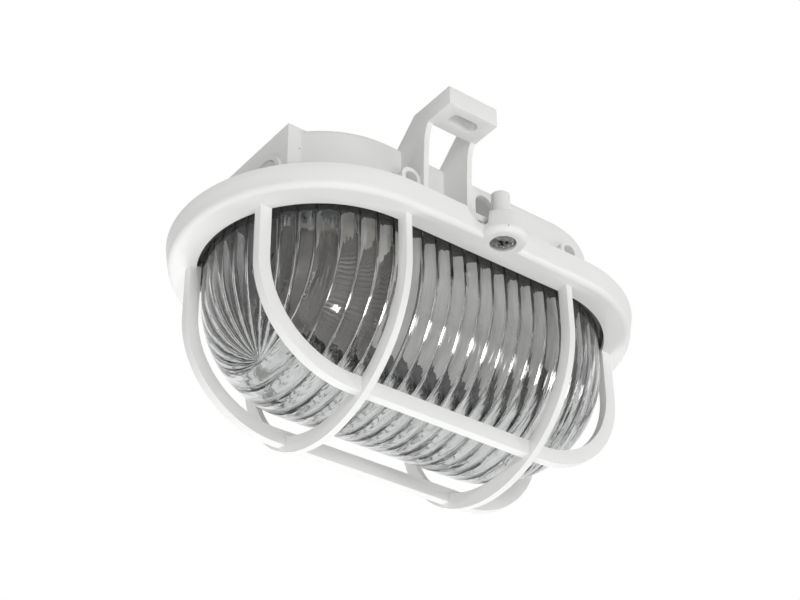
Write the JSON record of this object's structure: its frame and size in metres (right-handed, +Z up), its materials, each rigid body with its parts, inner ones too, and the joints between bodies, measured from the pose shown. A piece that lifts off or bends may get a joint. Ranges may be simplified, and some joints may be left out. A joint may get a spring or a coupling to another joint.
{
  "type": "bulkhead light",
  "caption": "White oval bulkhead light with ribbed clear glass, a barred plastic guard closed by a screw, standing feet and cable entries at one end.",
  "frame": {"origin": "middle of the light in the ceiling plane, the plane of the two foot pads' upper faces", "axes": "+Z up into the ceiling, +X along the light away from the cable entries, -Y towards the closing screw; the glass hangs down"},
  "size_m": [0.194, 0.14, 0.1151],
  "materials": {
    "white_plastic": "satin moulded",
    "clear_glass": "pressed, ribbed inside",
    "black_rubber": "matt",
    "white_rubber": "matt",
    "plated_steel": "zinc plated",
    "steel_strip": "zinc plated sheet",
    "bakelite": "moulded phenolic",
    "brass": "plain",
    "nylon": "natural",
    "brown_pvc": "wire insulation",
    "blue_pvc": "wire insulation"
  },
  "bodies": {
    "base_body": {"base": "white_plastic", "hinge_pin": "plated_steel", "lampholder_body": "bakelite", "lampholder_shell": "brass", "centre_contact": "brass", "lampholder_bracket": "steel_strip", "bracket_screws": "plated_steel", "holder_screws": "plated_steel", "terminal_block": "nylon", "terminal_tubes": "brass", "terminal_screws": "plated_steel", "block_screw": "plated_steel", "wire_live": "brown_pvc", "wire_neutral": "blue_pvc", "cable_grommets": "white_rubber"},
    "guard_body": {"guard": "white_plastic", "glass": "clear_glass", "gasket": "black_rubber", "closing_screw": "plated_steel", "screw_retainer": "nylon"}
  },
  "joints": [
    {"name": "guard_hinge", "type": "hinge", "parent": "base_body", "child": "guard_body", "pos_m": [0, 0.0623, -0.0365], "axis": [1, 0, 0], "range_deg": [0, 110]}
  ]
}
